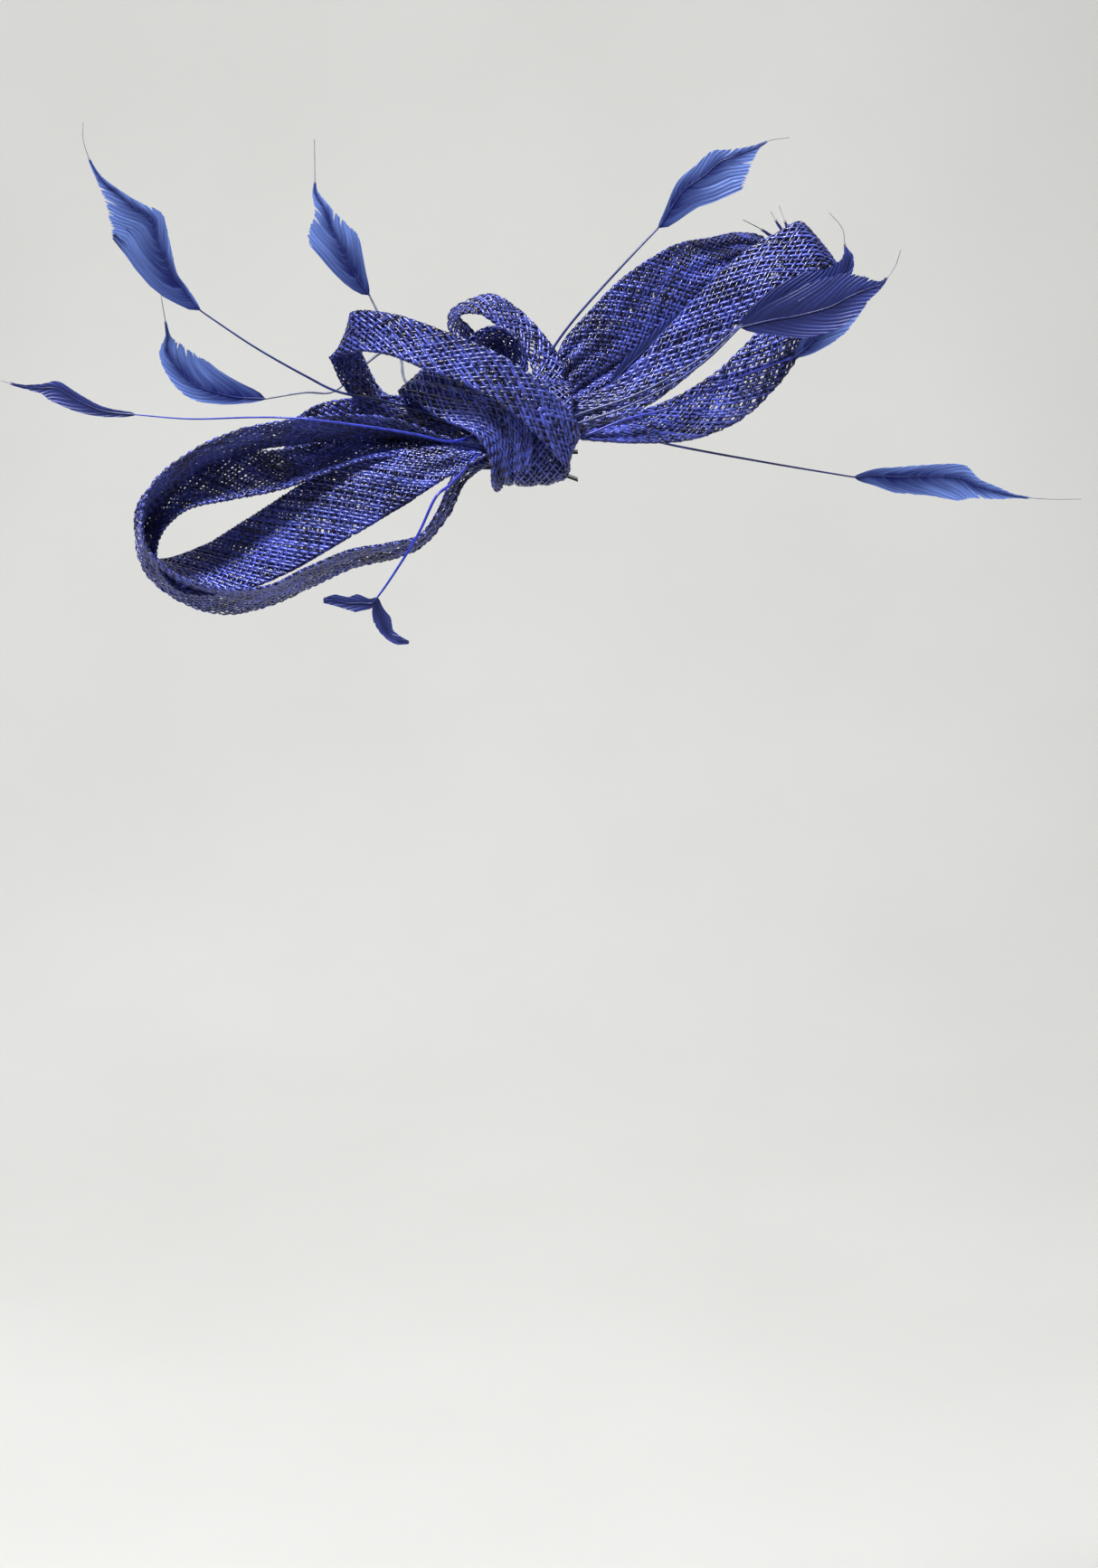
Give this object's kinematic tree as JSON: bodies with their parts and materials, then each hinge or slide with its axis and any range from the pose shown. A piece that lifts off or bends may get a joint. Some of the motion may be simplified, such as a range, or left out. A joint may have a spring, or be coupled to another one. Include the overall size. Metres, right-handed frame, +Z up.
{
  "type": "fascinator headpiece",
  "caption": "Asymmetric fascinator bow of open-weave ribbon loops with trimmed feathers, on a felt pad with a sprung hair clip and a brooch pin.",
  "frame": {"origin": "point of the clip's lower jaw's flat underside below the middle of the clip, where it rests on the head", "axes": "+X along the bow to the wearer's left, +Y to the back of the head, +Z up from the head"},
  "size_m": [0.3921, 0.0895, 0.1808],
  "materials": {
    "ribbon": "open-weave straw cloth with a slight sheen",
    "feather": "dyed trimmed feather, satin",
    "core_cloth": "bound cloth, matte",
    "thread": "sewing thread",
    "felt": "matte wool felt",
    "clip_steel": "dark lacquered spring steel, satin",
    "bright_steel": "bright nickel plate"
  },
  "bodies": {
    "headpiece": {"bound_core": "core_cloth", "binding_thread": "thread", "front_curl_ribbon": "ribbon", "centre_wrap_ribbon": "ribbon", "pleated_ribbon": "ribbon", "left_outer_ribbon": "ribbon", "left_inner_ribbon": "ribbon", "left_back_ribbon": "ribbon", "right_front_ribbon": "ribbon", "right_back_ribbon": "ribbon", "back_curl_ribbon": "ribbon", "fold_ribbon": "ribbon", "feather_top_left": "feather", "feather_top": "feather", "feather_left_middle": "feather", "feather_far_left": "feather", "feather_top_right": "feather", "feather_right_upper": "feather", "feather_right_middle": "feather", "feather_right_lower": "feather", "feather_far_right": "feather", "feather_front_blade": "feather", "feather_fishtail": "feather", "feather_wisps": "feather", "felt_pad": "felt", "steel_plate": "clip_steel", "stitch_1": "thread", "stitch_2": "thread", "stitch_3": "thread", "stitch_4": "thread", "clip_upper_arm": "clip_steel", "clip_hinge_pin": "bright_steel", "clip_spring": "bright_steel", "brooch_bracket": "clip_steel", "brooch_hinge_pin": "bright_steel", "catch_housing": "clip_steel"},
    "clip_jaw": {"clip_lower_jaw": "clip_steel"},
    "brooch_needle": {"brooch_needle": "bright_steel"},
    "catch_sleeve": {"catch_sleeve": "bright_steel"}
  },
  "joints": [
    {"name": "clip_hinge", "type": "hinge", "parent": "headpiece", "child": "clip_jaw", "pos_m": [0.009, 0, 0.0032], "axis": [0, -1, 0], "range_deg": [0, 28], "stiffness_Nm_per_rad": 0.02, "springref_deg": -28.65, "deforming": ["clip_spring"]},
    {"name": "needle_hinge", "type": "hinge", "parent": "headpiece", "child": "brooch_needle", "pos_m": [0.0105, 0.014, 0.00415], "axis": [0, -1, 0], "range_deg": [0, 80]},
    {"name": "catch_hinge", "type": "hinge", "parent": "headpiece", "child": "catch_sleeve", "pos_m": [-0.0105, 0.014, 0.00415], "axis": [-1, 0, 0], "range_deg": [0, 150]}
  ]
}
